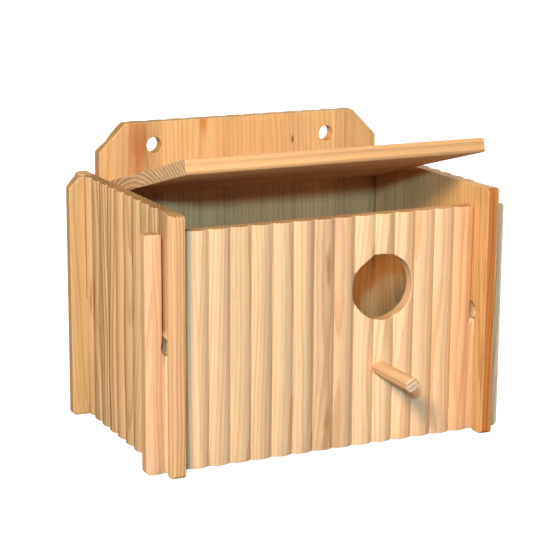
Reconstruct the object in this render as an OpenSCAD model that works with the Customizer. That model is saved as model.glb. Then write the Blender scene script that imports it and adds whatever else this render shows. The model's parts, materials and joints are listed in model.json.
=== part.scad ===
// Birdhouse of interlocking reeded boards: four wall panels slotted into each other, a floor held in
// grooves, a lid that turns on two pins between the side panels, and a perch below a round entrance.
// The front faces -Y, and the origin is on the ground under the middle of the whole object.

/* [Nest space] */
// Clear width between the side panels
nest_w = 292; // [240:1:340]
// Clear depth between the front and back panels
nest_d = 175; // [140:1:220]
// Entrance hole diameter
entrance_d = 60; // [32:1:70]
// Entrance hole centre, right of the middle
entrance_x = 52; // [0:1:80]
// Entrance hole centre, height
entrance_z = 144; // [135:1:150]

/* [Panels] */
// Thickness of every wall panel over the crest of a reed
panel_t = 13; // [11:0.5:15]
// Height of the front panel
front_h = 210; // [190:1:215]
// Height of the side panels and of the back panel's ears
side_h = 228; // [226:1:240]
// Height of the back panel's middle part
back_h = 275; // [265:1:320]
// Front and back panels beyond the side panels, at each end
ear_out = 15.5; // [12:0.5:25]
// Side panels beyond the front panel
side_front = 18; // [12:1:30]
// Side panels beyond the back panel
side_rear = 21; // [12:1:30]
// Radius of the rounded outline corners
corner_r = 4; // [1:0.5:5]
// Slanted outer corners of the back panel's middle part
back_chamfer = 26; // [10:1:35]
// Slanted outer corners of the back panel's ears
ear_chamfer = 10; // [4:0.5:11]

/* [Reeds] */
// Width of one reed
reed_pitch = 20; // [15:0.5:25]
// Depth of the groove between two reeds
reed_depth = 3.8; // [2:0.1:5]
// Start of the first reed before the front panel's left end
front_reed_start = 0.8; // [0:0.1:10]
// Start of the first reed before a side panel's front end
side_reed_start = 3; // [0:0.1:10]

/* [Interlocking slots] */
// Play on each side of a panel in the slot that it crosses
slot_play = 0.5; // [0.3:0.1:1.5]
// Play of the front and back panels' slots towards the nest
nest_play = 1.4; // [0.3:0.1:2]
// Height at which the slots of crossing panels meet
slot_z = 112; // [100:1:125]
// Diameter of the drilled relief at the end of each front slot
relief_d = 17.6; // [17:0.1:20]
// Shift of the front panel's reliefs towards the nest
relief_shift = 1; // [0:0.1:1.5]

/* [Hanging holes] */
// Diameter of each hanging hole
hang_d = 15; // [8:0.5:18]
// Distance between the hanging holes
hang_spacing = 180; // [100:1:220]
// Height of the hanging holes
hang_z = 253; // [245:1:258]

/* [Perch] */
// Diameter of the perch
perch_d = 13; // [8:0.5:16]
// Length of the perch in front of the front panel
perch_out = 57; // [30:1:90]
// Perch, right of the middle
perch_x = 51; // [0:1:80]
// Height of the perch
perch_z = 69; // [40:1:90]

/* [Floor] */
// Thickness of the floor panel
floor_t = 12; // [9:0.5:16]
// Height of the floor's underside
floor_z = 10; // [6:1:20]
// Depth of the grooves that hold the floor
groove_depth = 4; // [2:0.5:5]
// Diameter of the egg hollow
hollow_d = 120; // [80:1:130]
// Depth of the egg hollow
hollow_depth = 6; // [3:0.5:8]

/* [Lid] */
// Thickness of the lid
lid_t = 13; // [10:0.5:14]
// Gap at each end of the lid
lid_gap = 2.5; // [1:0.5:4]
// Closed lid's front edge beyond the side panels
lid_overhang = 2; // [0:0.5:8]
// Hinge axis in front of the back panel
hinge_y = 11.5; // [11:0.5:16]
// Lid behind the hinge axis
lid_rear = 8; // [6:0.5:8]
// Lid's opening as drawn, above the closed position
lid_open = 15; // [0:1:90]
// Diameter of the hinge pins
pin_d = 4; // [3:0.5:5]
// Hinge pin's reach into the side panel
pin_in_side = 6; // [5:0.5:7]
// Hinge pin's reach into the lid
pin_in_lid = 16; // [12:1:25]

/* [Hidden] */
$fn = 96;
cut = 1; // how far a cutting shape runs past the face it cuts
fit_play = 0.05; // radial play of the perch and the pins in wood
bearing_play = 0.08; // radial play of the pins in the side panels
floor_play = 0.3; // play round the edge of the floor
mouth_r = 3; // rounding at the open end of a slot
lid_edge_r = 2; // rounding along the lid's long edges
lid_lift = 0.3; // gap under the closed lid

reed_r = (pow(reed_pitch / 2, 2) + pow(reed_depth, 2)) / (2 * reed_depth);
side_x = nest_w / 2; // inner face of a side panel
slot_in = side_x - nest_play;
slot_out = side_x + panel_t + slot_play;
wall_w = nest_w + 2 * (panel_t + ear_out); // length of the front and back panels
side_len = side_front + 2 * panel_t + nest_d + side_rear;

front_y = perch_out - (perch_out + side_len - side_front) / 2; // outer face of the front panel
back_y = front_y + panel_t + nest_d; // front face of the back panel
side_y = front_y - side_front; // front end of the side panels
hinge = [0, back_y - hinge_y, front_h + lid_t / 2 + lid_lift];
lid_front = hinge[1] - side_y + lid_overhang;
lid_x = side_x - lid_gap;

// One rounded corner of an outline, as points along the arc that touches both edges at b.
function unit(v) = v / norm(v);
function corner(a, b, c, r, steps = 6) =
    let (u = unit(a - b), v = unit(c - b),
         half = acos(u * v) / 2,
         centre = b + unit(u + v) * r / sin(half),
         from = b + u * r / tan(half) - centre,
         to = b + v * r / tan(half) - centre,
         start = atan2(from[1], from[0]),
         turn = atan2(cross(from, to), from * to))
    [for (i = [0:steps]) centre + r * [cos(start + turn * i / steps), sin(start + turn * i / steps)]];

// An outline from corners given as [x, y, radius].
function rounded(corners) =
    let (n = len(corners), at = [for (p = corners) [p[0], p[1]]])
    [for (i = [0:n - 1])
        each corners[i][2] == 0 ? [at[i]]
            : corner(at[(i + n - 1) % n], at[i], at[(i + 1) % n], corners[i][2])];

// The right half of an outline, from the bottom up, with its mirror image.
function both_halves(half) =
    concat(half, [for (i = [len(half) - 1:-1:0]) [-half[i][0], half[i][1], half[i][2]]]);

// Cross-section of a reeded panel: smooth inner face along the X axis, crests at panel_t.
module reeded_section(length, reed_start) {
    reeds = ceil((length + reed_start) / reed_pitch);
    intersection() {
        polygon(rounded([[0, 0, 0], [length, 0, 0],
                         [length, panel_t, mouth_r], [0, panel_t, mouth_r]]));
        union() {
            square([length, panel_t - reed_depth]);
            for (i = [0:reeds - 1])
                translate([(i + 0.5) * reed_pitch - reed_start, panel_t - reed_r])
                    circle(r = reed_r);
        }
    }
}

// Reliefs at slot ends, drilled along Y in the front panel and along X in a side panel.
module reliefs(positions) {
    for (p = positions)
        translate([p, slot_z]) circle(d = relief_d);
}

// An outline in the X-Z plane made into a slab from y = 0 to y = -depth, with play on both faces.
module upright(depth) {
    translate([0, cut, 0]) rotate([90, 0, 0]) linear_extrude(depth + 2 * cut) children();
}

// Outline of the front panel, without its entrance and perch holes.
module front_outline() {
    w = wall_w / 2;
    difference() {
        polygon(rounded(both_halves([
            [w, 0, corner_r], [w, front_h, mouth_r],
            [slot_out, front_h, mouth_r], [slot_out, slot_z, 0],
            [slot_in, slot_z, 0], [slot_in, front_h, mouth_r]])));
        reliefs([for (way = [-1, 1]) way * (side_x + panel_t / 2 - relief_shift)]);
    }
}

// Outline of the back panel, with its raised middle and slanted corners; its slots end square.
module back_outline() {
    w = wall_w / 2;
    polygon(rounded(both_halves([
        [w, 0, corner_r], [w, side_h - ear_chamfer, mouth_r],
        [w - ear_chamfer, side_h, mouth_r / 2],
        [slot_out, side_h, mouth_r / 2], [slot_out, slot_z, 0],
        [slot_in, slot_z, 0],
        [slot_in, back_h - back_chamfer, corner_r],
        [slot_in - back_chamfer, back_h, corner_r]])));
}

// Outline of a side panel, from its front end at 0, with slots open at the bottom. Only the slot
// that crosses the front panel is drilled out.
module side_outline() {
    front = [side_front - slot_play, side_front + panel_t + slot_play];
    back = [for (p = front) p + panel_t + nest_d];
    difference() {
        polygon(rounded([
            [0, 0, corner_r], [front[0], 0, mouth_r], [front[0], slot_z, 0],
            [front[1], slot_z, 0], [front[1], 0, mouth_r],
            [back[0], 0, mouth_r], [back[0], slot_z, 0],
            [back[1], slot_z, 0], [back[1], 0, mouth_r],
            [side_len, 0, corner_r], [side_len, side_h, corner_r], [0, side_h, corner_r]]));
        reliefs([side_front + panel_t / 2]);
    }
}

// Groove for the edge of the floor, centred on the inner face at the given y.
module floor_groove(y) {
    translate([-side_x, y - groove_depth, floor_z - fit_play])
        cube([nest_w, 2 * groove_depth, floor_t + 2 * fit_play]);
}

module front_panel() {
    color("burlywood")
    difference() {
        intersection() {
            translate([wall_w / 2, front_y + panel_t, 0]) rotate([0, 0, 180])
                linear_extrude(front_h) reeded_section(wall_w, wall_reed_start());
            translate([0, front_y + panel_t, 0]) upright(panel_t) front_outline();
        }
        translate([entrance_x, front_y + panel_t + cut, entrance_z]) rotate([90, 0, 0])
            cylinder(d = entrance_d, h = panel_t + 2 * cut);
        translate([perch_x, front_y + panel_t + cut, perch_z]) rotate([90, 0, 0])
            cylinder(r = perch_d / 2 + fit_play, h = panel_t + 2 * cut);
        floor_groove(front_y + panel_t);
    }
}

// The front panel's section is turned end for end, so its reeds are counted from the right.
function wall_reed_start() =
    reed_pitch * ceil((wall_w + front_reed_start) / reed_pitch) - wall_w - front_reed_start;

module back_panel() {
    color("burlywood")
    difference() {
        intersection() {
            translate([-wall_w / 2, back_y, 0])
                linear_extrude(back_h) reeded_section(wall_w, front_reed_start);
            translate([0, back_y + panel_t, 0]) upright(panel_t) back_outline();
        }
        for (x = [-hang_spacing / 2, hang_spacing / 2])
            translate([x, back_y + panel_t + cut, hang_z]) rotate([90, 0, 0])
                cylinder(d = hang_d, h = panel_t + 2 * cut);
        floor_groove(back_y);
    }
}

// The right side panel; the left one is its mirror image.
module side_panel() {
    difference() {
        intersection() {
            translate([side_x, side_y + side_len, 0]) rotate([0, 0, -90])
                linear_extrude(side_h) reeded_section(side_len, side_rear_start());
            translate([side_x - cut, side_y, 0]) rotate([90, 0, 90])
                linear_extrude(panel_t + 2 * cut) side_outline();
        }
        translate([side_x - cut, hinge[1], hinge[2]]) rotate([0, 90, 0])
            cylinder(r = pin_d / 2 + bearing_play, h = cut + pin_in_side + 2 * floor_play);
    }
}

// A side panel's section starts at its rear end, and its reeds are set out from the front.
function side_rear_start() =
    reed_pitch * ceil((side_len + side_reed_start) / reed_pitch) - side_len - side_reed_start;

module left_side_panel() {
    color("tan") mirror([1, 0, 0]) side_panel();
}

module right_side_panel() {
    color("tan") side_panel();
}

module floor_panel() {
    width = nest_w - 2 * floor_play;
    depth = nest_d + 2 * (groove_depth - floor_play);
    dish_r = (pow(hollow_d / 2, 2) + pow(hollow_depth, 2)) / (2 * hollow_depth);
    middle = [0, (front_y + panel_t + back_y) / 2, floor_z + floor_t];
    color("wheat")
    difference() {
        translate([-width / 2, middle[1] - depth / 2, floor_z])
            cube([width, depth, floor_t]);
        translate(middle + [0, 0, dish_r - hollow_depth])
            sphere(r = dish_r, $fn = 180);
    }
}

module perch() {
    color("wheat")
    translate([perch_x, front_y + panel_t, perch_z]) rotate([90, 0, 0])
        cylinder(d = perch_d, h = panel_t + perch_out);
}

// Puts closed-lid shapes, drawn with the hinge axis along X through the origin, where they belong.
module on_hinge() {
    translate(hinge) rotate([-lid_open, 0, 0]) children();
}

module lid() {
    color("burlywood")
    on_hinge() difference() {
        translate([-lid_x, 0, 0]) rotate([90, 0, 90]) linear_extrude(2 * lid_x)
            polygon(rounded([
                [-lid_front, -lid_t / 2, lid_edge_r], [lid_rear, -lid_t / 2, lid_edge_r],
                [lid_rear, lid_t / 2, lid_edge_r], [-lid_front, lid_t / 2, lid_edge_r]]));
        for (side = [0, 1]) mirror([side, 0, 0])
            translate([lid_x - pin_in_lid, 0, 0]) rotate([0, 90, 0])
                cylinder(r = pin_d / 2 + fit_play, h = pin_in_lid + cut);
    }
}

// The right hinge pin, from inside the lid to inside the side panel.
module hinge_pin() {
    on_hinge() translate([lid_x - pin_in_lid, 0, 0]) rotate([0, 90, 0])
        cylinder(d = pin_d, h = pin_in_lid + lid_gap + pin_in_side);
}

module left_hinge_pin() {
    color("silver") mirror([1, 0, 0]) hinge_pin();
}

module right_hinge_pin() {
    color("silver") hinge_pin();
}

front_panel();
back_panel();
left_side_panel();
right_side_panel();
floor_panel();
perch();
lid();
left_hinge_pin();
right_hinge_pin();
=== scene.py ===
"""Birdhouse of interlocking reeded boards: its visible pieces, their finishes and the studio.

Lengths are in metres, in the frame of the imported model: +Z up, the entrance faces -Y.
"""

import json
import logging
import math
from dataclasses import dataclass, field
from enum import Enum
from typing import ClassVar

import bpy
import numpy as np
from mathutils import Matrix, Vector
from mathutils.geometry import delaunay_2d_cdt


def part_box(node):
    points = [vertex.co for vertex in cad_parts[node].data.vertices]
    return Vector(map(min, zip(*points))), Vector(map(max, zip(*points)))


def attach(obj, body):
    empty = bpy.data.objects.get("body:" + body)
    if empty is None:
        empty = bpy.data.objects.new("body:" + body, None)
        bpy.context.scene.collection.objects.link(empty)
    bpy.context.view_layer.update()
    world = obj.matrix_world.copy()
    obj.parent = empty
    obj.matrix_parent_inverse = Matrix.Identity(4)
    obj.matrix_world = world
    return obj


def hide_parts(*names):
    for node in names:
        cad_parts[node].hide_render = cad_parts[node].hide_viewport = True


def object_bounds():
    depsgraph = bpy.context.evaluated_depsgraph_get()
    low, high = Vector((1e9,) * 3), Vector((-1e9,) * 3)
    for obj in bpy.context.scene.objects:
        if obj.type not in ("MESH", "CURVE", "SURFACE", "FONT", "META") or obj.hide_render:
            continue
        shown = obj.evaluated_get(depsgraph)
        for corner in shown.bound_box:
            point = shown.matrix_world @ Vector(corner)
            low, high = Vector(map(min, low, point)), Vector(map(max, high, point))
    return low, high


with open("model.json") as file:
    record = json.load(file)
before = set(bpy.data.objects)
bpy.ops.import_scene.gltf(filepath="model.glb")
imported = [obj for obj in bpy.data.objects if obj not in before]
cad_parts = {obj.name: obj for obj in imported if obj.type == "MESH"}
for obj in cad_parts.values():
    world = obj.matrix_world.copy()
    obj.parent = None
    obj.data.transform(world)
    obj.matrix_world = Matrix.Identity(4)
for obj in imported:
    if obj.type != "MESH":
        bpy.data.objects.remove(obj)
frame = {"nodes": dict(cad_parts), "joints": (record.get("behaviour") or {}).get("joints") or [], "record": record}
CAD_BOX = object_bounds()

LOG = logging.getLogger("birdhouse")
MM = 0.001
SAME = 1e-7
TINY = 1e-6

Point = tuple[float, float]
Triple = tuple[float, float, float]
Loop = list[Point]
Colour = tuple[float, float, float, float]
Socket = bpy.types.NodeSocket
Value = float | int | tuple | str | Socket | bpy.types.Material


def tone(red: float, green: float, blue: float) -> Colour:
    """Turns a display colour, 0 to 1 each, into the linear colour that a shader takes."""
    linear = [c / 12.92 if c <= 0.04045 else ((c + 0.055) / 1.055) ** 2.4 for c in (red, green, blue)]
    return (linear[0], linear[1], linear[2], 1.0)


# ---- node trees


class Graph:
    """Adds nodes to a tree and links them, so that a tree reads like a formula."""

    def __init__(self, tree: bpy.types.NodeTree) -> None:
        """Works on an existing node tree."""
        self.tree = tree

    def feed(self, socket: Socket, value: Value) -> None:
        """Links a socket to another one, or sets its own value."""
        if isinstance(value, Socket):
            self.tree.links.new(value, socket)
        else:
            socket.default_value = value

    def add(self, kind: str, inputs: dict[int | str, Value] | None = None,
            **settings: Value) -> bpy.types.Node:
        """Adds one node.

        Args:
            kind: Blender's name of the node type.
            inputs: What feeds each input, by the input's name or number.
            **settings: The node's own options.

        Returns:
            The new node.
        """
        node = self.tree.nodes.new(kind)
        for name, value in settings.items():
            setattr(node, name, value)
        for key, value in (inputs or {}).items():
            self.feed(node.inputs[key], value)
        return node

    def math(self, operation: str, *values: Value, clamp: bool = False) -> Socket:
        """One step of arithmetic on numbers."""
        return self.add("ShaderNodeMath", dict(enumerate(values)),
                        operation=operation, use_clamp=clamp).outputs[0]

    def vector(self, operation: str, *values: Value) -> Socket:
        """One step of arithmetic on vectors; a length comes out as a number."""
        node = self.add("ShaderNodeVectorMath", dict(enumerate(values)), operation=operation)
        return node.outputs[1 if operation in ("LENGTH", "DISTANCE", "DOT_PRODUCT") else 0]

    def split(self, vector: Socket) -> list[Socket]:
        """The three parts of a vector."""
        return list(self.add("ShaderNodeSeparateXYZ", {0: vector}).outputs)

    def join(self, x: Value, y: Value, z: Value) -> Socket:
        """A vector from its three parts."""
        return self.add("ShaderNodeCombineXYZ", {0: x, 1: y, 2: z}).outputs[0]

    def ramp(self, value: Value, low: Value, high: Value, start: Value = 0.0,
             end: Value = 1.0, smooth: bool = True) -> Socket:
        """Maps a number from low..high to start..end, held at both ends."""
        kind = "SMOOTHSTEP" if smooth else "LINEAR"
        return self.add("ShaderNodeMapRange", {0: value, 1: low, 2: high, 3: start, 4: end},
                        interpolation_type=kind).outputs[0]

    def blend(self, factor: Value, first: Value, second: Value,
              mode: str = "MIX") -> Socket:
        """Mixes two colours."""
        return self.add("ShaderNodeMix", {0: factor, 6: first, 7: second},
                        data_type="RGBA", blend_type=mode).outputs[2]

    def noise(self, vector: Value, scale: Value, detail: float = 2.0, roughness: float = 0.5,
              coloured: bool = False) -> Socket:
        """Smooth noise, as a number or as a colour with three separate values."""
        node = self.add("ShaderNodeTexNoise",
                        {"Vector": vector, "Scale": scale, "Detail": detail, "Roughness": roughness})
        return node.outputs[1 if coloured else 0]


def blank_material(name: str) -> tuple[bpy.types.Material, Graph]:
    """An empty material and its graph."""
    material = bpy.data.materials.new(name)
    material.use_nodes = True
    material.node_tree.nodes.clear()
    return material, Graph(material.node_tree)


def add_object(name: str, data: bpy.types.ID) -> bpy.types.Object:
    """Adds an object to the scene."""
    added = bpy.data.objects.new(name, data)
    bpy.context.scene.collection.objects.link(added)
    return added


class SocketKind(Enum):
    """Kinds of socket on the node groups."""

    NUMBER = "NodeSocketFloat"
    WHOLE = "NodeSocketInt"
    VECTOR = "NodeSocketVector"
    COLOUR = "NodeSocketColor"
    MATERIAL = "NodeSocketMaterial"
    MESH = "NodeSocketGeometry"


def sockets(**names: str) -> dict[str, SocketKind]:
    """Sockets from their names, parted by commas, under each kind of socket."""
    return {name: SocketKind[kind] for kind, listed in names.items() for name in listed.split(", ")}


@dataclass
class Group:
    """A node group with named inputs and outputs."""

    name: str
    tree_type: str
    takes: dict[str, SocketKind]
    gives: dict[str, SocketKind]
    tree: bpy.types.NodeTree = field(init=False)
    graph: Graph = field(init=False)

    def __post_init__(self) -> None:
        """Makes the tree and its sockets."""
        self.tree = bpy.data.node_groups.new(self.name, self.tree_type)
        for kinds, way in ((self.takes, "INPUT"), (self.gives, "OUTPUT")):
            for name, kind in kinds.items():
                self.tree.interface.new_socket(name, in_out=way, socket_type=kind.value)
        self.graph = Graph(self.tree)
        self.source = self.graph.add("NodeGroupInput").outputs
        self.sink = self.graph.add("NodeGroupOutput").inputs

    def finish(self, **results: Value) -> "Group":
        """Links the results to the outputs; an underscore in a name stands for a space."""
        for name, value in results.items():
            self.graph.feed(self.sink[name.replace("_", " ")], value)
        return self

    def place(self, graph: Graph, **inputs: Value) -> bpy.types.Node:
        """Puts this group into a material's graph with its own values."""
        node = graph.add("ShaderNodeGroup", node_tree=self.tree)
        for name, value in inputs.items():
            graph.feed(node.inputs[name.replace("_", " ")], value)
        return node


@dataclass(frozen=True)
class Texture:
    """A noise in the wood, as its scales across the board, into it and along the grain, per metre."""

    scale: Triple
    detail: float = 2.0
    roughness: float = 0.5

    def build(self, g: Graph, point: Value) -> Socket:
        """The noise as a number."""
        return g.noise(g.vector("MULTIPLY", point, self.scale), 1.0, self.detail, self.roughness)


RIPPLE = Texture((170.0, 170.0, 9.0))
DRIFT = Texture((85.0, 85.0, 3.0), 3.0, 0.6)
FIBRE = Texture((1500.0, 1500.0, 55.0), 3.0, 0.6)
CANAL = Texture((620.0, 620.0, 24.0), 1.0)
PORES = Texture((2100.0, 2100.0, 2100.0))
RAGGED = Texture((420.0, 420.0, 60.0), 3.0)
WANDER_SCALE = (9.0, 9.0, 2.6)
WANDER_SPREAD = 40.0
PITH_ASIDE = 0.11
PITH_BELOW = 0.05
PITH_LEAN = 0.07
WANDER_ASIDE = 0.034
WANDER_BELOW = 0.030
RIPPLE_SHARE = 0.34


def pine_group() -> Group:
    """Solid pine: staves with rings round their own piths, latewood lines, fibres and end grain.

    Returns:
        The group. Its Point runs across the staves in X, into the board in Y and along the grain in Z.
    """
    group = Group("Pine", "ShaderNodeTree", sockets(
        VECTOR="Point", COLOUR="Pale, Deep, Warm, End Grain",
        NUMBER="Facing, Stave Width, Stave Shift, Scatter, Ring Width, Pith Depth, Contrast, Variety",
    ), sockets(COLOUR="Color", NUMBER="Height, Roughness"))
    g, source = group.graph, group.source
    point = source["Point"]
    x, y, z = g.split(point)

    shifted = g.math("ADD", x, source["Stave Shift"])
    stave = g.add("ShaderNodeTexVoronoi", {
        "W": shifted, "Scale": g.math("DIVIDE", 1.0, source["Stave Width"]), "Randomness": 0.75,
    }, voronoi_dimensions="1D")
    chance = g.split(stave.outputs["Color"])
    scatter = source["Scatter"]
    centred = g.math("SUBTRACT", shifted, g.math("MULTIPLY", stave.outputs["W"], scatter))

    wander = g.split(g.vector("SUBTRACT", g.noise(
        g.vector("ADD", g.vector("MULTIPLY", point, WANDER_SCALE),
                 g.vector("SCALE", stave.outputs["Color"], (0, 0, 0), (0, 0, 0), WANDER_SPREAD)),
        1.0, 2.0, 0.45, coloured=True), (0.5, 0.5, 0.5)))
    lean = g.math("MULTIPLY", z, g.math("SUBTRACT", chance[2], 0.5))
    aside = g.math("MULTIPLY_ADD", g.math("SUBTRACT", chance[0], 0.5), PITH_ASIDE,
                   g.math("MULTIPLY", lean, PITH_LEAN))
    aside = g.math("MULTIPLY_ADD", wander[0], WANDER_ASIDE, aside)
    across = g.math("MULTIPLY_ADD", aside, scatter, centred)
    below = g.math("MULTIPLY_ADD", wander[1], WANDER_BELOW, g.math("MULTIPLY", chance[1], PITH_BELOW))
    deep = g.math("ADD", y, g.math("MULTIPLY_ADD", below, scatter, source["Pith Depth"]))
    radius = g.vector("LENGTH", g.join(across, deep, 0.0))
    turns = g.math("DIVIDE", radius, source["Ring Width"])
    turns = g.math("ADD", turns, g.math("MULTIPLY", RIPPLE.build(g, point), RIPPLE_SHARE))
    ring = g.math("FRACT", turns)
    year = g.add("ShaderNodeTexWhiteNoise", {
        "Vector": g.join(g.math("FLOOR", turns), g.math("MULTIPLY", chance[0], 50.0), 0.0)},
        noise_dimensions="3D").outputs["Value"]
    late = g.math("MULTIPLY", g.ramp(ring, 0.30, 0.90), g.ramp(ring, 0.93, 1.0, 1.0, 0.0))
    end = g.ramp(source["Facing"], 0.55, 0.85)
    late = g.math("MULTIPLY", late, g.ramp(year, 0.0, 1.0, g.ramp(end, 0.0, 1.0, 0.25, 0.7), 1.0,
                                           smooth=False))

    drift = DRIFT.build(g, point)
    fibre = FIBRE.build(g, point)
    pores = PORES.build(g, point)
    canal = g.math("MULTIPLY", g.ramp(CANAL.build(g, point), 0.70, 0.80), g.ramp(drift, 0.50, 0.62))

    contrast = g.math("MULTIPLY", source["Contrast"], g.ramp(end, 0.0, 1.0, 1.0, 1.7))
    colour = g.blend(g.math("MULTIPLY", late, contrast, clamp=True), source["Pale"], source["Deep"])
    lift = g.math("MULTIPLY", g.math("SUBTRACT", chance[1], 0.5), source["Variety"])
    lift = g.math("MULTIPLY_ADD", g.math("SUBTRACT", drift, 0.5), 0.55, lift)
    lift = g.math("MULTIPLY_ADD", g.math("SUBTRACT", fibre, 0.5), 0.42, lift)
    warmth = g.math("ADD", g.ramp(chance[0], 0.2, 1.0, 0.0, 0.55), g.ramp(drift, 0.45, 0.75, 0.0, 0.45))
    warmth = g.math("MULTIPLY", warmth, source["Variety"])
    colour = g.blend(warmth, colour, source["Warm"], "MULTIPLY")
    gain = g.math("ADD", lift, 1.0)
    colour = g.blend(1.0, colour, g.add("ShaderNodeCombineColor", {0: gain, 1: gain, 2: gain}).outputs[0],
                     "MULTIPLY")
    colour = g.blend(g.math("MULTIPLY", canal, 0.35), colour, source["Deep"], "MULTIPLY")
    ended = g.blend(g.ramp(pores, 0.35, 0.75, 0.86, 1.0), colour, source["End Grain"], "MULTIPLY")
    colour = g.blend(end, colour, ended)

    height = g.math("MULTIPLY_ADD", late, 0.45, g.math("MULTIPLY", fibre, 0.8))
    height = g.math("MULTIPLY_ADD", g.math("MULTIPLY", pores, end), 0.4, height)
    rough = g.math("MULTIPLY_ADD", late, -0.12, g.math("MULTIPLY_ADD", fibre, 0.16, 0.56))
    rough = g.math("MULTIPLY_ADD", end, 0.18, rough)
    return group.finish(Color=colour, Height=height, Roughness=rough)


def edge_wear_group() -> Group:
    """Sanded arrises: paler and a little fuzzy where the wood was eased, broken up by noise."""
    group = Group("Edge Wear", "ShaderNodeTree",
                  sockets(COLOUR="Color", VECTOR="Point", NUMBER="Amount"), sockets(COLOUR="Color"))
    g, source = group.graph, group.source
    eased = g.add("ShaderNodeAttribute", attribute_name="eased").outputs["Fac"]
    rubbed = g.ramp(g.noise(source["Point"], 420.0, 3.0, 0.6), 0.30, 0.62, 0.25, 1.0)
    mask = g.math("MULTIPLY", g.math("MULTIPLY", eased, rubbed), source["Amount"], clamp=True)
    return group.finish(Color=g.blend(mask, source["Color"], tone(0.99, 0.90, 0.76)))


def blemish_group() -> Group:
    """A soft ragged spot: 1 in the middle of an ellipsoid, 0 outside it."""
    group = Group("Blemish", "ShaderNodeTree",
                  sockets(VECTOR="Point, Centre, Half Size", NUMBER="Ragged, Core"),
                  sockets(NUMBER="Mask"))
    g, source = group.graph, group.source
    away = g.vector("DIVIDE", g.vector("SUBTRACT", source["Point"], source["Centre"]),
                    source["Half Size"])
    ragged = g.math("SUBTRACT", RAGGED.build(g, source["Point"]), 0.5)
    reach = g.math("MULTIPLY_ADD", ragged, source["Ragged"], g.vector("LENGTH", away))
    return group.finish(Mask=g.ramp(reach, source["Core"], 1.0, 1.0, 0.0))


# ---- finishes


class Grain(Enum):
    """Direction that the wood's fibres run in, as the turn that brings it to Z."""

    UPRIGHT = (0.0, 0.0, 0.0)
    UPRIGHT_SIDEWAYS = (0.0, 0.0, math.pi / 2)
    LENGTHWISE = (0.0, -math.pi / 2, 0.0)
    FORWARD = (math.pi / 2, 0.0, 0.0)


@dataclass(frozen=True)
class Blemish:
    """A patch in the wood's colour: a knot, a resin pocket, a stained streak, a split, and in one place painted
    shade.
    """

    centre: Triple
    half_size: Triple
    colour: Colour
    strength: float
    ragged: float
    core: float
    mode: str = "MIX"


def stain_and_painted_shade(centre: Triple, half_size: Triple, colour: Colour, strength: float, ragged: float,
          core: float) -> Blemish:
    """A patch that darkens the wood below it; used for stains and for painted shade."""
    return Blemish(centre, half_size, colour, strength, ragged, core, "MULTIPLY")


@dataclass(frozen=True)
class Pine:
    """Finish of one board of glued-up pine staves."""

    name: str
    grain: Grain = Grain.UPRIGHT
    stave_width: float = 0.046
    stave_shift: float = 0.0
    scatter: float = 1.0
    ring_width: float = 0.0034
    pith_depth: float = 0.014
    contrast: float = 0.55
    variety: float = 0.30
    pale: Colour = tone(0.945, 0.780, 0.600)
    deep: Colour = tone(0.820, 0.590, 0.390)
    warm: Colour = tone(0.985, 0.870, 0.800)
    end_grain: Colour = tone(0.93, 0.93, 0.86)
    edge_amount: float = 0.22
    blemishes: tuple[Blemish, ...] = ()

    shared: ClassVar[tuple[str, ...]] = (
        "stave_width", "stave_shift", "scatter", "ring_width", "pith_depth", "contrast", "variety", "pale",
        "deep", "warm", "end_grain")
    groups: ClassVar[dict[str, Group]] = {}

    def build(self, middle: Vector) -> bpy.types.Material:
        """Builds the material.

        Args:
            middle: The board's middle, which the grain is centred on.

        Returns:
            The material.
        """
        if not self.groups:
            self.groups.update(pine=pine_group(), wear=edge_wear_group(), blemish=blemish_group())
        material, g = blank_material(self.name)
        place = g.add("ShaderNodeTexCoord").outputs
        point = self._turned(g, g.vector("SUBTRACT", place["Object"], tuple(middle)))
        facing = g.math("ABSOLUTE", g.split(self._turned(g, place["Normal"]))[2])
        values = {name.title(): getattr(self, name) for name in self.shared}
        wood = self.groups["pine"].place(g, Point=point, Facing=facing, **values).outputs
        colour = wood["Color"]
        for mark in self.blemishes:
            mask = self.groups["blemish"].place(
                g, Point=place["Object"], Centre=mark.centre, Half_Size=mark.half_size,
                Ragged=mark.ragged, Core=mark.core).outputs["Mask"]
            colour = g.blend(g.math("MULTIPLY", mask, mark.strength), colour, mark.colour, mark.mode)
        worn = self.groups["wear"].place(g, Color=colour, Point=place["Object"],
                                         Amount=self.edge_amount).outputs
        bump = g.add("ShaderNodeBump", {"Strength": 0.55, "Distance": 0.25 * MM,
                                        "Height": wood["Height"]})
        surface = g.add("ShaderNodeBsdfPrincipled", {
            "Base Color": worn["Color"], "Roughness": wood["Roughness"],
            "Specular IOR Level": 0.28, "Normal": bump.outputs[0]})
        g.add("ShaderNodeOutputMaterial", {"Surface": surface.outputs[0]})
        return material

    def _turned(self, g: Graph, vector: Socket) -> Socket:
        """Turns a vector so that the grain runs along Z."""
        return g.add("ShaderNodeVectorRotate", {"Vector": vector, "Rotation": self.grain.value},
                     rotation_type="EULER_XYZ").outputs[0]


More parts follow.
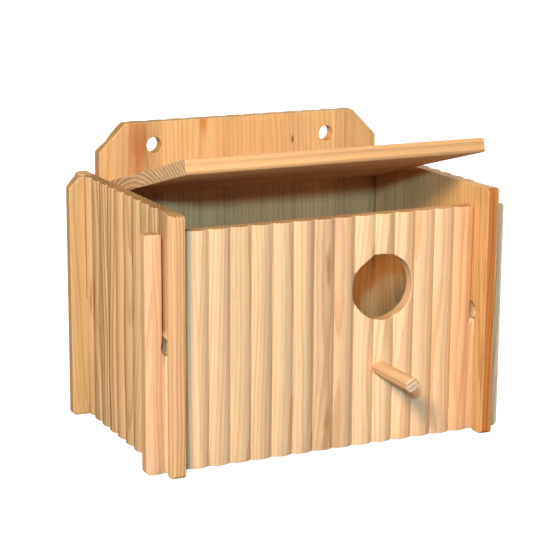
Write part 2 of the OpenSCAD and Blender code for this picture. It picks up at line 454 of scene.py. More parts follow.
@dataclass(frozen=True)
class DrawnWire:
    """Finish of the hinge pins: plain steel wire with fine marks from drawing."""

    name: str = "drawn_wire"
    colour: Colour = tone(0.72, 0.72, 0.70)
    dull: Colour = tone(0.50, 0.49, 0.47)

    def build(self) -> bpy.types.Material:
        """Builds the material."""
        material, g = blank_material(self.name)
        point = g.add("ShaderNodeTexCoord").outputs["Object"]
        drawn = g.noise(g.vector("MULTIPLY", point, (90.0, 4200.0, 4200.0)), 1.0, 3.0)
        tarnish = g.ramp(g.noise(point, 700.0, 3.0), 0.45, 0.75)
        surface = g.add("ShaderNodeBsdfPrincipled", {
            "Base Color": g.blend(tarnish, self.colour, self.dull), "Metallic": 1.0,
            "Roughness": g.math("MULTIPLY_ADD", drawn, 0.25, 0.22),
            "Normal": g.add("ShaderNodeBump", {"Strength": 0.3, "Distance": 0.05 * MM,
                                               "Height": drawn}).outputs[0]})
        g.add("ShaderNodeOutputMaterial", {"Surface": surface.outputs[0]})
        return material


# ---- outlines


def rounded(corners: list[Triple], steps: int = 7) -> Loop:
    """Rounds the corners of an outline.

    Args:
        corners: Triples as (x, y, radius), counter-clockwise.
        steps: Points less one on each rounded corner.

    Returns:
        The outline's points.
    """
    points: Loop = []
    for i, (x, y, radius) in enumerate(corners):
        corner = Vector((x, y))
        if radius == 0:
            points.append((x, y))
            continue
        before = (Vector(corners[i - 1][:2]) - corner).normalized()
        after = (Vector(corners[(i + 1) % len(corners)][:2]) - corner).normalized()
        half = before.angle(after) / 2
        centre = corner + (before + after).normalized() * radius / math.sin(half)
        start = corner + before * radius / math.tan(half) - centre
        end = corner + after * radius / math.tan(half) - centre
        turn = math.atan2(start.x * end.y - start.y * end.x, start.dot(end))
        for k in range(steps + 1):
            arm = start.copy()
            arm.rotate(Matrix.Rotation(turn * k / steps, 2))
            points.append(tuple(centre + arm))
    return points


def both_halves(right: list[Triple]) -> list[Triple]:
    """The right half of an outline, from the bottom up, with its mirror image."""
    return right + [(-x, y, radius) for x, y, radius in reversed(right)]


def hole(x: float, y: float, radius: float, count: int = 72) -> Loop:
    """A round hole, clockwise."""
    turns = [-2 * math.pi * k / count for k in range(count)]
    return [(x + radius * math.cos(t), y + radius * math.sin(t)) for t in turns]


def pocket_box(low_x: float, high_x: float, low_y: float, high_y: float) -> Loop:
    """A rectangular hollow, clockwise."""
    return [(low_x, low_y), (low_x, high_y), (high_x, high_y), (high_x, low_y)]


def inset(loop: Loop, distance: float) -> Loop:
    """Moves a loop towards the wood, which lies on its left."""
    points = [Vector(p) for p in loop]
    normals = []
    for i, point in enumerate(points):
        along = (points[(i + 1) % len(points)] - point).normalized()
        normals.append(Vector((-along.y, along.x)))
    moved = []
    for i, point in enumerate(points):
        before, after = normals[i - 1], normals[i]
        moved.append(tuple(point + (before + after) * distance / (1 + before.dot(after))))
    return moved


def inside(loops: list[Loop], points: np.ndarray) -> np.ndarray:
    """Tells which points lie in the wood, by counting the edges to their right."""
    crossings = np.zeros(len(points), int)
    for loop in loops:
        start = np.array(loop)
        end = np.roll(start, -1, axis=0)
        for (x0, y0), (x1, y1) in zip(start, end):
            spans = (y0 > points[:, 1]) != (y1 > points[:, 1])
            if spans.any():
                at = x0 + (points[:, 1] - y0) * (x1 - x0) / ((y1 - y0) or 1e-12)
                crossings += spans & (points[:, 0] < at)
    return crossings % 2 == 1


# ---- meshes


class Draft:
    """Points and faces of a mesh that is being put together, with two marks for each point."""

    def __init__(self) -> None:
        """Starts an empty draft."""
        self.points: list[Triple] = []
        self.faces: list[tuple[int, ...]] = []
        self.marks: dict[str, list[float]] = {"reeded": [], "eased": []}
        self.bows: list[float] = []

    def ring(self, loop: Loop, depth: float, reeded: float = 0.0, eased: float = 0.0,
             bows: list[float] | None = None) -> list[int]:
        """Adds a loop of points.

        Args:
            loop: The points, across and up.
            depth: How far they lie behind the crests.
            reeded: 1 where the points follow the reeds.
            eased: How much of an eased arris they are.
            bows: How far each point moves into the wood while a face is being filled.

        Returns:
            The points' numbers.
        """
        first = len(self.points)
        self.bows += bows or [0.0] * len(loop)
        self.points += [(x, depth, z) for x, z in loop]
        self.marks["reeded"] += [reeded] * len(loop)
        self.marks["eased"] += [eased] * len(loop)
        return list(range(first, first + len(loop)))

    def band(self, front: list[int], back: list[int]) -> None:
        """Joins two loops with four-sided faces."""
        for i in range(len(front)):
            k = (i + 1) % len(front)
            self.faces.append((front[i], back[i], back[k], front[k]))

    def bands(self, rings: list[list[int]]) -> None:
        """Joins each loop to the next."""
        for front, back in zip(rings, rings[1:]):
            self.band(front, back)

    def sheet(self, rings: list[list[int]], columns: list[float] = (), row_gap: float = 1.0,
              turned: bool = False) -> None:
        """Fills the face between loops with triangles whose edges follow the columns.

        Args:
            rings: The loops' points, the outer one first.
            columns: Places across the board where an edge has to run from loop to loop.
            row_gap: Distance between the points along a column.
            turned: True for a face that looks away from the crests.
        """
        ids = [i for ring in rings for i in ring]
        depth = self.points[ids[0]][1]
        reeded = self.marks["reeded"][ids[0]]
        loops = [[(self.points[i][0], self.points[i][2] + self.bows[i]) for i in ring]
                 for ring in rings]
        flat = [p for loop in loops for p in loop]
        edges, offset = [], 0
        for loop in loops:
            edges += [(offset + k, offset + (k + 1) % len(loop)) for k in range(len(loop))]
            offset += len(loop)
        for column in columns:
            ends = sorted((p[1], k) for k, p in enumerate(flat[:offset]) if abs(p[0] - column) < SAME)
            for (low, first), (high, last) in zip(ends, ends[1:]):
                middle = np.array([[column, (low + high) / 2]])
                if high - low < TINY or not inside(loops, middle)[0]:
                    continue
                count = max(1, round((high - low) / row_gap))
                chain = [first]
                for k in range(1, count):
                    chain.append(len(flat))
                    flat.append((column, low + (high - low) * k / count))
                edges += list(zip(chain, chain[1:] + [last]))
        scaled = [Vector(p) / MM for p in flat]
        found, _, faces, origins, _, _ = delaunay_2d_cdt(scaled, edges, [], 0, TINY)
        ids += self.ring(flat[offset:], depth, reeded)
        number = [ids[origin[0]] if origin else None for origin in origins]
        centres = np.array([np.mean([found[i] for i in face], axis=0) for face in faces]) * MM
        for face, kept in zip(faces, inside(loops, centres)):
            if kept and all(number[i] is not None for i in face):
                corners = tuple(number[i] for i in face)
                self.faces.append(corners[::-1] if turned else corners)

    def mesh(self, name: str) -> bpy.types.Mesh:
        """Makes the mesh, with its marks as attributes."""
        mesh = bpy.data.meshes.new(name)
        mesh.from_pydata(self.points, [], self.faces)
        for mark, values in self.marks.items():
            mesh.attributes.new(mark, "FLOAT", "POINT").data.foreach_set("value", values)
        mesh.validate()
        return mesh


def smooth(mesh: bpy.types.Mesh, sharper_than: float = 32.0) -> None:
    """Shades a mesh smooth, apart from edges sharper than an angle in degrees."""
    mesh.shade_smooth()
    mesh.set_sharp_from_angle(angle=math.radians(sharper_than))


def easing(ease: float, steps: int) -> list[Point]:
    """Quarter-round of an arris, from the face to the wall, as (inset, depth) pairs."""
    turns = [math.pi / 2 * (1 - k / steps) for k in range(steps + 1)]
    return [(ease * (1 - math.cos(t)), ease * (1 - math.sin(t))) for t in turns]


@dataclass
class Hollow:
    """A blind hollow in a board's smooth face."""

    outline: Loop
    depth: float


@dataclass
class Blank:
    """A board with a flat outer face at depth 0, ready for its reeds."""

    outline: Loop
    thickness: float
    ease: float
    holes: list[tuple[Loop, float]] = field(default_factory=list)
    hollows: list[Hollow] = field(default_factory=list)
    columns: list[float] = field(default_factory=list)
    row_gap: float = 0.014
    ease_steps: int = 4
    bow: float = 2 * MM

    def levels(self, loop: Loop, ease: float, steps: int) -> tuple[list[Loop], list[float]]:
        """The loop at each level of an eased arris, cut where the columns cross the inner one.

        Args:
            loop: The loop at the wall.
            ease: Radius of the arris.
            steps: Levels less one.

        Returns:
            The levels, and a bow for each point that keeps the cuts of an edge out of line.
        """
        levels = [inset(loop, distance) for distance, _ in easing(ease, steps)]
        cuts: list[tuple[int, float]] = []
        inner = levels[0]
        for i, start in enumerate(inner):
            end = inner[(i + 1) % len(inner)]
            cuts.append((i, 0.0))
            run = end[0] - start[0]
            found = [(c - start[0]) / run for c in self.columns
                     if min(start[0], end[0]) + TINY < c < max(start[0], end[0]) - TINY]
            cuts += [(i, share) for share in sorted(found)]
        refined = []
        for level in levels:
            ends = level[1:] + level[:1]
            refined.append([(level[i][0] + (ends[i][0] - level[i][0]) * share,
                             level[i][1] + (ends[i][1] - level[i][1]) * share) for i, share in cuts])
        exact = {round(c, 7): c for c in self.columns}
        refined[0] = [(exact.get(round(x, 7), x), z) for x, z in refined[0]]
        bows = []
        for i, share in cuts:
            run = inner[(i + 1) % len(inner)][0] - inner[i][0]
            height = min(self.bow, abs(run) / 20)
            bows.append(math.copysign(height, run) * 4 * share * (1 - share))
        return refined, bows

    def draft(self) -> Draft:
        """Builds the board: outer face, eased arrises, walls, smooth face and its hollows."""
        draft = Draft()
        outer_rings, inner_rings = [], []
        for loop, ease in [(self.outline, self.ease), *self.holes]:
            levels, bows = self.levels(loop, ease, self.ease_steps)
            depths = [depth for _, depth in easing(ease, self.ease_steps)]
            marks = [math.sin(math.pi * (k + 0.5) / (len(levels))) ** 0.5 if k else 0.0
                     for k in range(len(levels))]
            front = [draft.ring(level, depth, 1.0, mark, bows)
                     for level, depth, mark in zip(levels, depths, marks)]
            back = [draft.ring(level, self.thickness - depth, 0.0, mark, bows)
                    for level, depth, mark in zip(levels, depths, marks)]
            wall = [draft.ring(levels[-1], depths[-1] * 2, 1.0),
                    draft.ring(levels[-1], self.thickness - depths[-1] * 2, 0.0)]
            draft.bands(front + wall + back[::-1])
            outer_rings.append(front[0])
            inner_rings.append(back[0])
        for hollow in self.hollows:
            rim = draft.ring(hollow.outline, self.thickness)
            bottom = draft.ring(hollow.outline, self.thickness - hollow.depth)
            draft.band(bottom, rim)
            draft.faces.append(tuple(bottom))
            inner_rings.append(rim)
        draft.sheet(outer_rings, self.columns, self.row_gap)
        draft.sheet(inner_rings, turned=True)
        return draft


def reeds_tree() -> Group:
    """Geometry Nodes that mill the reeds: round ridges side by side along X, hollowed in +Y."""
    group = Group("Reeds", "GeometryNodeTree", sockets(
        MESH="Geometry", NUMBER="Pitch, Crest Radius, First Groove, Chatter", WHOLE="Seed",
        MATERIAL="Material"), sockets(MESH="Geometry"))
    g, source = group.graph, group.source
    position = g.add("GeometryNodeInputPosition").outputs[0]
    x, _, z = g.split(position)
    turns = g.math("DIVIDE", g.math("SUBTRACT", x, source["First Groove"]), source["Pitch"])
    aside = g.math("MULTIPLY", g.math("SUBTRACT", g.math("FRACT", turns), 0.5), source["Pitch"])
    radius = source["Crest Radius"]
    square = g.math("SUBTRACT", g.math("MULTIPLY", radius, radius), g.math("MULTIPLY", aside, aside))
    groove = g.math("SUBTRACT", radius, g.math("SQRT", square))
    cutter = g.add("ShaderNodeTexWhiteNoise", {
        "Vector": g.join(g.math("FLOOR", turns), source["Seed"], 0.0)}, noise_dimensions="3D")
    shake = g.noise(g.join(g.math("MULTIPLY", x, 3.0), source["Seed"], g.math("MULTIPLY", z, 9.0)),
                    1.0, 2.0)
    chatter = g.math("MULTIPLY", g.math("ADD", cutter.outputs["Value"], shake), source["Chatter"])
    marked = g.add("GeometryNodeInputNamedAttribute", {"Name": "reeded"}, data_type="FLOAT")
    depth = g.math("MULTIPLY", g.math("ADD", groove, chatter), marked.outputs[0])
    milled = g.add("GeometryNodeSetPosition", {"Geometry": source["Geometry"],
                                               "Offset": g.join(0.0, depth, 0.0)})
    whole = g.add("GeometryNodeRealizeInstances", {0: milled.outputs[0]})
    dressed = g.add("GeometryNodeSetMaterial", {"Geometry": whole.outputs[0],
                                                "Material": source["Material"]})
    return group.finish(Geometry=dressed.outputs[0])


def run_tree(group: Group, mesh: bpy.types.Mesh, name: str, **inputs: Value) -> bpy.types.Mesh:
    """Runs a Geometry Nodes tree on a mesh once.

    Args:
        group: The tree.
        mesh: What it starts from.
        name: The result's name.
        **inputs: The tree's inputs by name, with an underscore for a space.

    Returns:
        The result as a plain mesh.
    """
    carrier = add_object(name + "_blank", mesh)
    modifier = carrier.modifiers.new(group.name, "NODES")
    modifier.node_group = group.tree
    for socket in group.tree.interface.items_tree:
        key = socket.name.replace(" ", "_")
        if key in inputs:
            modifier[socket.identifier] = inputs[key]
    carrier.update_tag()
    bpy.context.view_layer.update()
    evaluated = carrier.evaluated_get(bpy.context.evaluated_depsgraph_get())
    result = bpy.data.meshes.new_from_object(evaluated)
    result.name = name
    bpy.data.objects.remove(carrier)
    bpy.data.meshes.remove(mesh)
    return result


def show(name: str, mesh: bpy.types.Mesh, node: str, body: str) -> bpy.types.Object:
    """Puts a finished mesh on its body in place of its solid.

    Args:
        name: The piece's name.
        mesh: Its mesh, in place.
        node: The solid that it stands for.
        body: The body that it rides on.

    Returns:
        The piece.
    """
    smooth(mesh)
    piece = add_object(name, mesh)
    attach(piece, body)
    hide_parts(node)
    LOG.info("%s: %d faces, on %s", name, len(mesh.polygons), body)
    return piece


# ---- wall panels


@dataclass
class Reeding:
    """Round ridges milled side by side."""

    pitch: float = 20 * MM
    depth: float = 3.8 * MM
    chatter: float = 0.12 * MM
    facets: int = 12
    clear: float = 0.25 * MM

    @property
    def crest_radius(self) -> float:
        """Radius of one reed's round."""
        return ((self.pitch / 2) ** 2 + self.depth ** 2) / (2 * self.depth)

    def columns(self, low: float, high: float, groove: float, avoid: list[float]) -> list[float]:
        """Places across a board where its face needs an edge.

        Args:
            low: The board's left end.
            high: The board's right end.
            groove: Where any one groove lies.
            avoid: Upright edges that no other edge may run close to.

        Returns:
            The places, each groove among them.
        """
        step = self.pitch / self.facets
        first = math.ceil((low - groove) / step)
        last = math.floor((high - groove) / step)
        places = [groove + k * step for k in range(first, last + 1)]
        return [x for x in places if all(abs(x - other) > self.clear for other in avoid)]


@dataclass(frozen=True)
class Slot:
    """A slot that a crossing panel sits in, drilled out at its closed end."""

    outer_play: float = 0.5 * MM
    inner_play: float = 0.5 * MM
    relief_shift: float = 0.0
    relief_radius: float = 8.8 * MM
    end_height: float = 112 * MM
    mouth_radius: float = 3 * MM

    def corners(self, low: float, high: float, mouth: float, steps: int = 30) -> list[Triple]:
        """Outline of one slot, in the order that its panel's outline passes it.

        Args:
            low: Where the crossing board starts across the panel.
            high: Where it ends, on the side of the outer play.
            mouth: Height of the slot's open end, above or below its closed end.
            steps: Points less one round the relief.

        Returns:
            The corners.
        """
        way = 1 if mouth > self.end_height else -1
        edges = (low - self.inner_play, high + self.outer_play)
        first, last = edges[::-way]
        middle = (low + high) / 2 - self.relief_shift
        end = [(first, self.end_height, 0.0), (last, self.end_height, 0.0)]
        if self.relief_radius:
            start = math.acos(way * (first - middle) / self.relief_radius)
            stop = -math.pi - math.acos(way * (middle - last) / self.relief_radius)
            turns = [start + (stop - start) * k / steps for k in range(steps + 1)]
            end = [(middle + way * self.relief_radius * math.cos(turn),
                    self.end_height + way * self.relief_radius * math.sin(turn), 0.0)
                   for turn in turns]
        return [(first, mouth, self.mouth_radius), *end, (last, mouth, self.mouth_radius)]


class Facing(Enum):
    """Where a wall panel's reeds look, as its turn about Z."""

    FRONT = 0.0
    BACK = math.pi
    LEFT = -math.pi / 2
    RIGHT = math.pi / 2


@dataclass
class WallPanel:
    """A reeded wall panel, crossed with its neighbours."""

    node: str
    slot_name: str
    finish: Pine
    facing: Facing
    reeding: Reeding = field(default_factory=Reeding)
    slots: Slot = Slot()
    ease: float = 0.9 * MM
    outline_radius: float = 4 * MM
    seed: int = 1

    trees: ClassVar[dict[str, Group]] = {}

    def __post_init__(self) -> None:
        """Reads the panel's place from its solid."""
        self.low, self.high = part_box(self.node)
        sideways = self.facing in (Facing.LEFT, Facing.RIGHT)
        self.thickness = (self.high - self.low)[0 if sideways else 1]
        self.height = self.high.z
        self.turn = Matrix.Rotation(self.facing.value, 4, "Z")
        local = [self.turn.inverted() @ corner for corner in (self.low, self.high)]
        self.left = min(p.x for p in local)
        self.right = max(p.x for p in local)
        self.crest = min(p.y for p in local)

    def across(self, point: Vector) -> float:
        """Where a point of the frame lies across the panel."""
        return (self.turn.inverted() @ point).x

    def outline(self) -> list[Triple]:
        """Triples of the panel's outline."""
        raise NotImplementedError

    def holes(self) -> list[tuple[Loop, float]]:
        """Holes through the panel, each with the easing of its arrises."""
        return []

    def hollows(self) -> list[Hollow]:
        """Blind hollows in the panel's smooth face."""
        return []

    def groove_place(self) -> float:
        """Where any one groove lies across the panel."""
        raise NotImplementedError

    def build(self) -> bpy.types.Object:
        """Builds the panel and shows it in place of its solid."""
        corners = self.outline()
        upright = sorted({round(x, 6) for x, _, _ in corners})
        eased = [x + way * self.ease for x in upright for way in (-1, 1)]
        groove = self.groove_place()
        columns = self.reeding.columns(self.left, self.right, groove, upright + eased)
        blank = Blank(rounded(corners), self.thickness, self.ease, self.holes(), self.hollows(), columns)
        if not self.trees:
            self.trees["reeds"] = reeds_tree()
        mesh = run_tree(
            self.trees["reeds"], blank.draft().mesh(self.node + "_draft"), self.node + "_board",
            Pitch=self.reeding.pitch, Crest_Radius=self.reeding.crest_radius, First_Groove=groove,
            Chatter=self.reeding.chatter, Seed=self.seed,
            Material=self.finish.build((self.low + self.high) / 2))
        mesh.transform(self.turn @ Matrix.Translation((0, self.crest, 0)))
        return show(self.node + "_board", mesh, self.node, "box")


@dataclass
class CrossPanel(WallPanel):
    """A panel that runs from side to side, with a groove for the floor's edge."""

    first_reed: float = 0.8 * MM
    floor_play: float = 0.05 * MM
    floor_groove: float = 4 * MM

    def hollows(self) -> list[Hollow]:
        """The floor's groove."""
        low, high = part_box("floor_panel")
        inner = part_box("right_side_panel")[0].x
        outline = pocket_box(-inner, inner, low.z - self.floor_play, high.z + self.floor_play)
        return [Hollow(outline, self.floor_groove)]

    def groove_place(self) -> float:
        """The groove at the panel's left end, as seen from the front."""
        return self.across(Vector((self.low.x - self.first_reed, 0, 0)))

    def side_slot(self, mouth: float) -> list[Triple]:
        """The slot for the right side panel, up to the height of its mouth."""
        low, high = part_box("right_side_panel")
        return self.slots.corners(low.x, high.x, mouth)


@dataclass
class FrontPanel(CrossPanel):
    """Front panel with the entrance and the perch's hole."""

    entrance: Point = (52 * MM, 144 * MM)
    entrance_radius: float = 30 * MM
    perch_play: float = 0.05 * MM
    perch_ease: float = 0.3 * MM
    perch_facets: int = 40

    def outline(self) -> list[Triple]:
        """Triples of the outline, with a slot at each end."""
        return both_halves([(self.right, 0, self.outline_radius),
                            (self.right, self.height, self.slots.mouth_radius),
                            *self.side_slot(self.height)])

    def holes(self) -> list[tuple[Loop, float]]:
        """The entrance and the perch's hole."""
        low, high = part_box("perch")
        perch = hole((low.x + high.x) / 2, (low.z + high.z) / 2,
                     (high.x - low.x) / 2 + self.perch_play, self.perch_facets)
        return [(hole(*self.entrance, self.entrance_radius), self.ease), (perch, self.perch_ease)]


@dataclass
class BackPanel(CrossPanel):
    """Back panel with its raised middle, slanted corners and hanging holes."""

    ear_height: float = 228 * MM
    middle_chamfer: float = 26 * MM
    ear_chamfer: float = 10 * MM
    hole_ease: float = 0.5 * MM
    hole_facets: int = 48

    def outline(self) -> list[Triple]:
        """Triples of the outline, with a slot at each end."""
        slot = self.side_slot(self.ear_height)
        mouth = self.slots.mouth_radius
        inner = slot[-1][0]
        return both_halves([
            (self.right, 0, self.outline_radius), (self.right, self.ear_height - self.ear_chamfer, mouth),
            (self.right - self.ear_chamfer, self.ear_height, mouth / 2),
            (slot[0][0], self.ear_height, mouth / 2), *slot[1:-1],
            (inner, self.height - self.middle_chamfer, self.outline_radius),
            (inner - self.middle_chamfer, self.height, self.outline_radius)])

    def holes(self) -> list[tuple[Loop, float]]:
        """The two hanging holes, from the record's mount."""
        mount = next(m for m in frame["record"]["mounts"] if m["name"] == "hanging_holes")
        radius = mount["dims"]["hole_r_mm"] * MM
        spacing = mount["dims"]["spacing_x_mm"] * MM
        return [(hole(side * spacing / 2, mount["pos_m"][2], radius, self.hole_facets), self.hole_ease)
                for side in (-1, 1)]


@dataclass
class SidePanel(WallPanel):
    """Side panel, with slots open at the bottom and a blind bore for its hinge pin."""

    first_reed: float = 3 * MM
    pin_bore_depth: float = 6.6 * MM
    pin_bore_radius: float = 2.08 * MM
    pin_bore_facets: int = 24

    def outline(self) -> list[Triple]:
        """Triples of the outline, with a slot near each end."""
        crossed = []
        for node, slot in (("front_panel", self.slots), ("back_panel", Slot(relief_radius=0))):
            low, high = sorted(self.across(corner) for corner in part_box(node))
            crossed.append((low, slot.corners(low, high, 0)))
        slots = [corner for _, corners in sorted(crossed) for corner in corners]
        end = self.outline_radius
        return [(self.left, 0, end), *slots, (self.right, 0, end),
                (self.right, self.height, end), (self.left, self.height, end)]

    def hollows(self) -> list[Hollow]:
        """The hinge pin's bore."""
        at = Vector(frame["joints"][0]["pos_m"])
        bore = hole(self.across(at), at.z, self.pin_bore_radius, self.pin_bore_facets)
        return [Hollow(bore, self.pin_bore_depth)]

    def groove_place(self) -> float:
        """The groove at the panel's front end."""
        return self.across(Vector((0, self.low.y - self.first_reed, 0)))


# ---- floor, lid and perch


def eased_bar(draft: Draft, section: Loop, length: float, ease: float, steps: int = 5) -> None:
    """Adds a bar along Z whose end arrises are eased.

    Args:
        draft: The draft that takes it.
        section: The bar's section, counter-clockwise.
        length: Its length.
        ease: Radius of the end arrises.
        steps: Steps of each rounding.
    """
    profile = easing(ease, steps)
    levels = profile + [(distance, length - depth) for distance, depth in reversed(profile)]
    rings = [draft.ring(inset(section, distance), depth, 0.0,
                        1.0 if 0 < distance < ease else 0.3 * (distance == 0))
             for distance, depth in levels]
    draft.bands(rings)
    draft.sheet([rings[0]])
    draft.sheet([rings[-1]], turned=True)


@dataclass
class Lid:
    """Flat lid on two pins, drawn partly open."""

    finish: Pine
    thickness: float = 13 * MM
    rear: float = 8 * MM
    edge_radius: float = 2 * MM
    end_ease: float = 0.7 * MM

    def build(self) -> bpy.types.Object:
        """Builds the lid and shows it in place of its solid."""
        joint = frame["joints"][0]
        hinge = Vector(joint["pos_m"])
        opening = -math.radians(joint["range_deg"][0])
        low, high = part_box("lid")
        half = self.thickness / 2
        reach = (hinge.y - low.y - half * math.sin(opening)) / math.cos(opening)
        radius = self.edge_radius
        section = rounded([(-half, -self.rear, radius), (half, -self.rear, radius),
                           (half, reach, radius), (-half, reach, radius)])
        draft = Draft()
        eased_bar(draft, section, high.x - low.x, self.end_ease)
        mesh = draft.mesh("lid_draft")
        # The bar's section is drawn as (up, forward) and its length runs along X.
        stand = Matrix(((0, 1, 0, low.x), (0, 0, -1, 0), (1, 0, 0, 0), (0, 0, 0, 1)))
        mesh.transform(Matrix.Translation((0, hinge.y, hinge.z))
                       @ Matrix.Rotation(-opening, 4, "X") @ stand)
        mesh.materials.append(self.finish.build((low + high) / 2))
        return show("lid_board", mesh, "lid", "lid")


@dataclass
class Perch:
    """Round dowel below the entrance."""

    finish: Pine
    tip_ease: float = 1.0 * MM
    facets: int = 48

    def build(self) -> bpy.types.Object:
        """Builds the dowel and shows it in place of its solid."""
        low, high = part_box("perch")
        middle = (low + high) / 2
        section = hole(0, 0, (high.x - low.x) / 2, self.facets)[::-1]
        draft = Draft()
        eased_bar(draft, section, high.y - low.y, self.tip_ease)
        mesh = draft.mesh("perch_draft")
        mesh.transform(Matrix.Translation((middle.x, low.y, middle.z)))
        mesh.materials.append(self.finish.build(middle))
        return show("perch_dowel", mesh, "perch", "box")


@dataclass
class Floor:
    """Floor panel with its egg hollow."""

    finish: Pine
    ease: float = 0.5 * MM
    hollow_radius: float = 60 * MM
    hollow_depth: float = 6 * MM
    rings: int = 14
    facets: int = 96
    rim: float = 1.2 * MM
    rim_drop: float = 0.15 * MM
    corner_radius: float = 0.6 * MM

    def build(self) -> bpy.types.Object:
        """Builds the floor and shows it in place of its solid."""
        low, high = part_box("floor_panel")
        middle = (low + high) / 2
        half = (high - low) / 2
        corner = self.corner_radius
        outline = rounded([(half.x, -half.y, corner), (half.x, half.y, corner),
                           (-half.x, half.y, corner), (-half.x, -half.y, corner)])
        blank = Blank(outline, high.z - low.z, self.ease)
        draft = Draft()
        self._slab(draft, blank)
        mesh = draft.mesh("floor_draft")
        # The slab is drawn upright with its outer face towards -Y, and is laid down with it upwards.
        mesh.transform(Matrix.Translation((middle.x, middle.y, high.z))
                       @ Matrix.Rotation(-math.pi / 2, 4, "X"))
        mesh.materials.append(self.finish.build(middle))
        return show("floor_board", mesh, "floor_panel", "box")

    def _slab(self, draft: Draft, blank: Blank) -> None:
        """Adds the slab and the hollow, whose rim turns over softly."""
        levels, _ = blank.levels(blank.outline, blank.ease, blank.ease_steps)
        depths = [depth for _, depth in easing(blank.ease, blank.ease_steps)]
        front = [draft.ring(loop, depth) for loop, depth in zip(levels, depths)]
        back = [draft.ring(loop, blank.thickness - depth) for loop, depth in zip(levels, depths)]
        draft.bands(front + back[::-1])
        sphere = (self.hollow_radius ** 2 + self.hollow_depth ** 2) / (2 * self.hollow_depth)
        profile = [(self.hollow_radius + self.rim, 0.0)]
        for k in range(self.rings):
            radius = self.hollow_radius * (1 - k / self.rings)
            sunk = math.sqrt(sphere ** 2 - radius ** 2) - (sphere - self.hollow_depth)
            profile.append((radius, max(sunk, self.rim_drop)))
        bowl = [draft.ring(hole(0, 0, radius, self.facets), depth) for radius, depth in profile]
        draft.bands(bowl)
        draft.faces.append(tuple(bowl[-1][::-1]))
        draft.sheet([front[0], bowl[0]])
        draft.sheet([back[0]], turned=True)


# ---- studio


@dataclass(frozen=True)
class Lamp:
    """A square lamp that looks at the object's middle from a studio stand."""

    name: str
    azimuth: float
    elevation: float
    distance: float
    size: float
    power: float
    colour: Triple

    def build(self, target: Vector) -> None:
        """Builds the lamp, turned towards a target."""
        data = bpy.data.lights.new(self.name, "AREA")
        data.size = self.size
        data.energy = self.power
        data.color = self.colour
        stand = add_object(self.name, data)
        away = outward(self.azimuth, self.elevation)
        stand.location = target + away * self.distance
        stand.rotation_euler = away.to_track_quat("Z", "Y").to_euler()


def outward(azimuth: float, elevation: float) -> Vector:
    """Unit vector towards a place at degrees from -Y towards +X, and degrees above the ground."""
    turn, rise = math.radians(azimuth), math.radians(elevation)
    return Vector((math.sin(turn) * math.cos(rise), -math.cos(turn) * math.cos(rise), math.sin(rise)))


@dataclass
class Studio:
    """White floor and backdrop, the lamps and the camera."""

    azimuth: float = -24.13
    elevation: float = 13.27
    camera: Triple = (-0.7124, -1.4385, 0.5189)
    lens: float = 117.1
    shift: float = 0.0993
    sensor: float = 36.0
    floor_size: float = 40.0
    lamps: tuple[Lamp, ...] = (
        Lamp("key", -39.0, 31.0, 2.5, 0.50, 60.0, (1.0, 0.71, 0.45)),
        Lamp("cool", -29.0, 19.0, 2.4, 0.10, 39.0, (0.34, 0.70, 1.0)),
        Lamp("fill", 22.0, 14.0, 2.6, 1.40, 6.5, (0.92, 0.92, 0.90)),
        Lamp("rear", 138.0, 24.0, 2.6, 1.40, 52.0, (1.0, 0.90, 0.78)),
    )
    ambient: Colour = (0.62, 0.88, 1.0, 1.0)
    ambient_strength: float = 0.075
    bounce: Colour = (0.27, 0.29, 0.31, 1.0)
    white: Colour = (1.0, 1.0, 1.0, 1.0)

    def build(self) -> None:
        """Builds the whole studio."""
        self._floor()
        self._world()
        middle = (CAD_BOX[0] + CAD_BOX[1]) / 2
        for lamp in self.lamps:
            lamp.build(middle)
        self._camera()
        bpy.context.scene.view_settings.view_transform = "Standard"

    def _floor(self) -> None:
        """A wide white floor under the object, which throws back little light."""
        half = self.floor_size / 2
        mesh = bpy.data.meshes.new("studio_floor")
        mesh.from_pydata([(-half, -half, 0), (half, -half, 0), (half, half, 0), (-half, half, 0)],
                         [], [(0, 1, 2, 3)])
        floor = add_object("studio_floor", mesh)
        material = bpy.data.materials.new("studio_paper")
        material.use_nodes = True
        g = Graph(material.node_tree)
        seen = g.add("ShaderNodeLightPath").outputs["Is Camera Ray"]
        paper = material.node_tree.nodes["Principled BSDF"].inputs
        g.feed(paper["Base Color"], self.bounce)
        paper["Roughness"].default_value = 0.9
        paper["Specular IOR Level"].default_value = 0.1
        paper["Emission Color"].default_value = self.white
        g.feed(paper["Emission Strength"], seen)
        mesh.materials.append(material)

    def _world(self) -> None:
        """A white backdrop that lights the object only a little."""
        world = bpy.data.worlds.new("studio")
        world.use_nodes = True
        g = Graph(world.node_tree)
        seen = g.add("ShaderNodeLightPath").outputs["Is Camera Ray"]
        background = world.node_tree.nodes["Background"].inputs
        g.feed(background[0], g.blend(seen, self.ambient, self.white))
        g.feed(background[1], g.ramp(seen, 0.0, 1.0, self.ambient_strength, 1.0))
        bpy.context.scene.world = world

    def _camera(self) -> None:
        """Adds the camera."""
        data = bpy.data.cameras.new("camera")
        data.lens = self.lens
        data.sensor_width = self.sensor
        data.shift_x = self.shift
        camera = add_object("camera", data)
        camera.location = self.camera
        back = outward(self.azimuth, self.elevation)
        camera.rotation_euler = back.to_track_quat("Z", "Y").to_euler()
        bpy.context.scene.camera = camera


# ---- the birdhouse


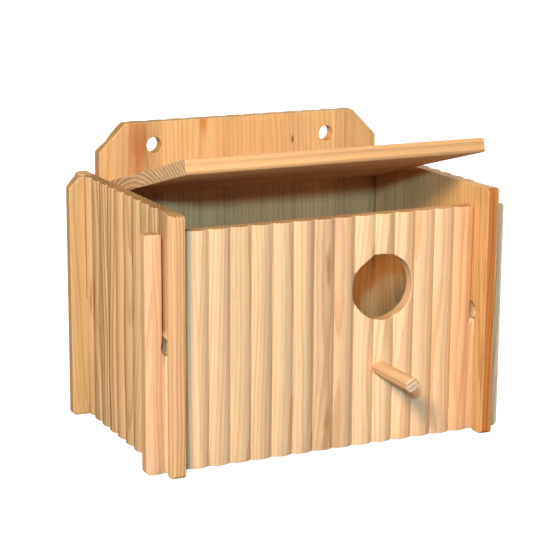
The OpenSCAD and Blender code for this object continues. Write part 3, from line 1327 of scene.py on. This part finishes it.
FRONT_PINE = Pine("front_pine", stave_shift=0.013, contrast=0.62, variety=0.45, blemishes=(
    stain_and_painted_shade((-0.003, -0.082, 0.167), (0.0055, 0.02, 0.026), tone(0.74, 0.66, 0.42), 0.85, 1.1, 0.0),
    stain_and_painted_shade((-0.003, -0.082, 0.024), (0.0050, 0.02, 0.028), tone(0.76, 0.67, 0.45), 0.80, 1.1, 0.0),
    stain_and_painted_shade((0.1335, -0.082, 0.100), (0.0105, 0.02, 0.500), tone(0.97, 0.90, 0.86), 0.80, 0.1, 0.7),
    # Painted shade: a flat darkening over the left ear, which the key light makes brighter than the rest of the
    # front face.
    stain_and_painted_shade((-0.168, -0.082, 0.100), (0.0100, 0.02, 0.500), tone(0.94, 0.90, 0.88), 1.00, 0.1, 0.7),
    Blemish((0.100, -0.082, 0.006), (0.0006, 0.02, 0.005), tone(0.35, 0.22, 0.12), 0.90, 0.2, 0.1),
    Blemish((0.104, -0.082, 0.009), (0.0006, 0.02, 0.006), tone(0.35, 0.22, 0.12), 0.90, 0.2, 0.1),
))
BACK_PINE = Pine("back_pine", stave_shift=0.117, pale=tone(0.870, 0.690, 0.465),
                 deep=tone(0.76, 0.52, 0.30), variety=0.34, blemishes=(
    stain_and_painted_shade((-0.106, 0.105, 0.250), (0.014, 0.02, 0.060), tone(0.87, 0.69, 0.53), 0.90, 0.7, 0.1),
    Blemish((-0.040, 0.105, 0.272), (0.006, 0.02, 0.020), tone(0.80, 0.47, 0.17), 0.75, 0.5, 0.2),
    Blemish((0.0537, 0.105, 0.2495), (0.0022, 0.02, 0.0055), tone(0.42, 0.22, 0.12), 0.9, 0.4, 0.1),
))
LEFT_PINE = Pine("left_side_pine", Grain.UPRIGHT_SIDEWAYS, stave_shift=0.31, contrast=0.95,
                 variety=0.45, pale=tone(0.900, 0.740, 0.540), deep=tone(0.68, 0.49, 0.30),
                 blemishes=(
    stain_and_painted_shade((-0.1525, -0.101, 0.112), (0.0300, 0.004, 0.900), tone(0.94, 0.88, 0.86), 1.00, 0.2, 0.6),
    stain_and_painted_shade((-0.159, 0.050, 0.120), (0.02, 0.0042, 0.300), tone(0.84, 0.72, 0.55), 0.90, 0.5, 0.2),
    stain_and_painted_shade((-0.159, 0.090, 0.110), (0.02, 0.0140, 0.055), tone(0.93, 0.80, 0.60), 0.80, 1.2, 0.0),
))
RIGHT_PINE = Pine("right_side_pine", Grain.UPRIGHT_SIDEWAYS, stave_shift=0.12, contrast=0.65,
                  variety=0.36, pale=tone(0.935, 0.745, 0.490), deep=tone(0.76, 0.52, 0.29),
                  blemishes=(
    stain_and_painted_shade((0.151, -0.100, 0.112), (0.0075, 0.006, 0.400), tone(0.88, 0.66, 0.47), 0.95, 0.4, 0.4),
))
LID_PINE = Pine("lid_pine", Grain.LENGTHWISE, scatter=0.0, stave_shift=-0.117, pith_depth=0.001,
                ring_width=0.0044, pale=tone(0.920, 0.685, 0.450), deep=tone(0.46, 0.30, 0.17),
                contrast=0.50, end_grain=(1.02, 1.16, 1.34, 1.0))
FLOOR_PINE = Pine("floor_pine", Grain.LENGTHWISE, stave_shift=0.07)
PERCH_PINE = Pine("perch_pine", Grain.FORWARD, scatter=0.0, stave_shift=0.022, pith_depth=0.040,
                  ring_width=0.0040, contrast=0.45, pale=tone(0.93, 0.750, 0.55),
                  deep=tone(0.42, 0.27, 0.20), end_grain=(1.0, 1.10, 1.30, 1.0))


def main() -> None:
    """Builds every piece, the pins' finish and the studio."""
    logging.basicConfig(level=logging.INFO, format="%(name)s: %(message)s")
    Studio().build()
    front_slot = Slot(inner_play=1.4 * MM, relief_shift=1 * MM)
    back_slot = Slot(outer_play=0.1 * MM, inner_play=1.4 * MM, relief_radius=0)
    for piece in (
            FrontPanel("front_panel", "front_wood", FRONT_PINE, Facing.FRONT, slots=front_slot, seed=3),
            BackPanel("back_panel", "back_wood", BACK_PINE, Facing.BACK, slots=back_slot, seed=5),
            SidePanel("left_side_panel", "side_wood", LEFT_PINE, Facing.LEFT, seed=7),
            SidePanel("right_side_panel", "side_wood", RIGHT_PINE, Facing.RIGHT, seed=11),
            Floor(FLOOR_PINE), Perch(PERCH_PINE), Lid(LID_PINE)):
        piece.build()
    wire = DrawnWire().build()
    for node in ("left_hinge_pin", "right_hinge_pin"):
        pin = frame["nodes"][node]
        pin.data.materials.clear()
        pin.data.materials.append(wire)
        LOG.info("%s: drawn wire", node)


if __name__ == "__main__":
    main()
